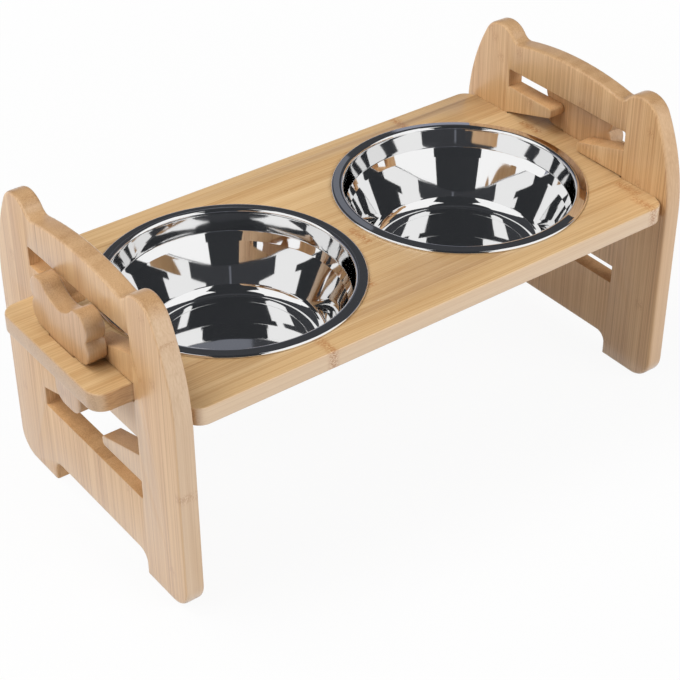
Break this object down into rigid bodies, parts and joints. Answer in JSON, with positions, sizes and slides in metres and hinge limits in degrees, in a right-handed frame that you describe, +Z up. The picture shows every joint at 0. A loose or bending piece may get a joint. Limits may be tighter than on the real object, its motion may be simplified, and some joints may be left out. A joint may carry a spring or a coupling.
{
  "type": "dog feeder stand",
  "caption": "Raised bamboo pet feeder: eared side panels with Z-shaped height openings, a keyed bowl board and lift-out steel bowls.",
  "frame": {"origin": "on the floor, under the middle of the stand", "axes": "+X along the board from the left panel to the right one, +Y from the front to the rear, +Z up"},
  "size_m": [0.416, 0.19, 0.1978],
  "materials": {
    "panel_bamboo": "satin lacquer",
    "board_bamboo": "satin lacquer",
    "key_bamboo": "satin lacquer",
    "bowl_steel": "mirror-polished stainless steel"
  },
  "bodies": {
    "stand": {"left_side_panel": "panel_bamboo", "right_side_panel": "panel_bamboo", "bowl_board": "board_bamboo"},
    "left_key": {"left_locking_key": "key_bamboo"},
    "right_key": {"right_locking_key": "key_bamboo"},
    "left_feeding_bowl": {"left_bowl": "bowl_steel"},
    "right_feeding_bowl": {"right_bowl": "bowl_steel"}
  },
  "joints": [
    {"name": "left_key_lift", "type": "slide", "parent": "stand", "child": "left_key", "axis": [0, 0, 1], "range_m": [0, 0.048]},
    {"name": "right_key_lift", "type": "slide", "parent": "stand", "child": "right_key", "axis": [0, 0, 1], "range_m": [0, 0.048]},
    {"name": "left_bowl_lift", "type": "slide", "parent": "stand", "child": "left_feeding_bowl", "axis": [0, 0, 1], "range_m": [0, 0.055]},
    {"name": "right_bowl_lift", "type": "slide", "parent": "stand", "child": "right_feeding_bowl", "axis": [0, 0, 1], "range_m": [0, 0.055]}
  ]
}
